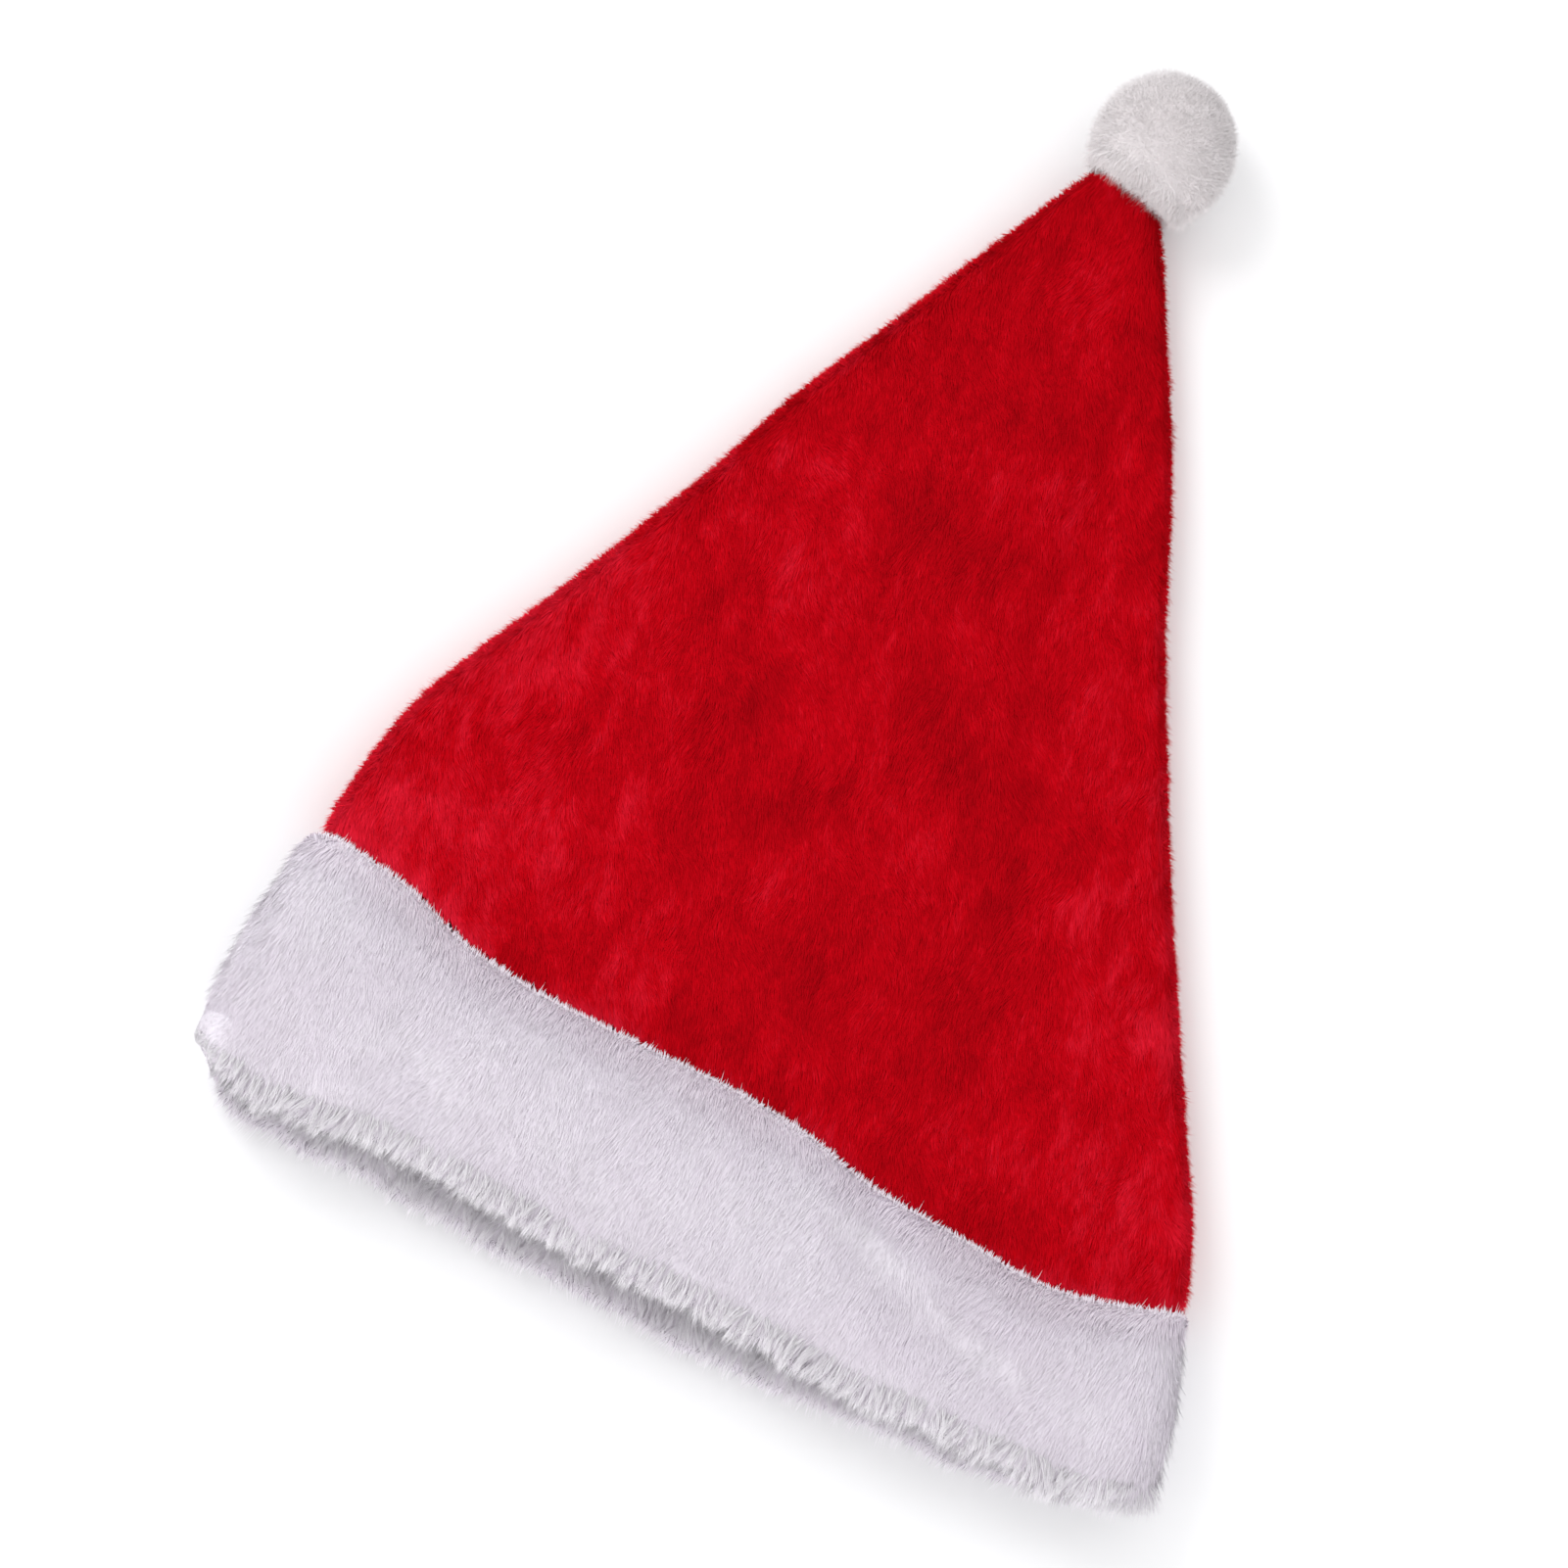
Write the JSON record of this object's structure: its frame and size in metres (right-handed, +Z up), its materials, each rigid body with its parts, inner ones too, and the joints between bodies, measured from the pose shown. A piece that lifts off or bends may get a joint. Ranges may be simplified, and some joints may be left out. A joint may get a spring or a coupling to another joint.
{
  "type": "santa hat",
  "caption": "Plush santa hat lying flat: hollow red cone with a folded white cuff and a round pompom at its tip.",
  "frame": {"origin": "middle of the base of the hat's bounding box, on the surface that the hat lies on", "axes": "+Y from the head opening to the pompom, +X across the hat, +Z up from the surface it lies on"},
  "size_m": [0.3016, 0.3952, 0.0413],
  "materials": {
    "red_plush": "short soft pile",
    "cuff_plush": "deep soft pile",
    "pompom_plush": "deep soft pile"
  },
  "bodies": {
    "root": {"crown_front_panel": "red_plush", "crown_back_panel": "red_plush", "cuff_band": "cuff_plush", "pompom": "pompom_plush"}
  },
  "joints": []
}
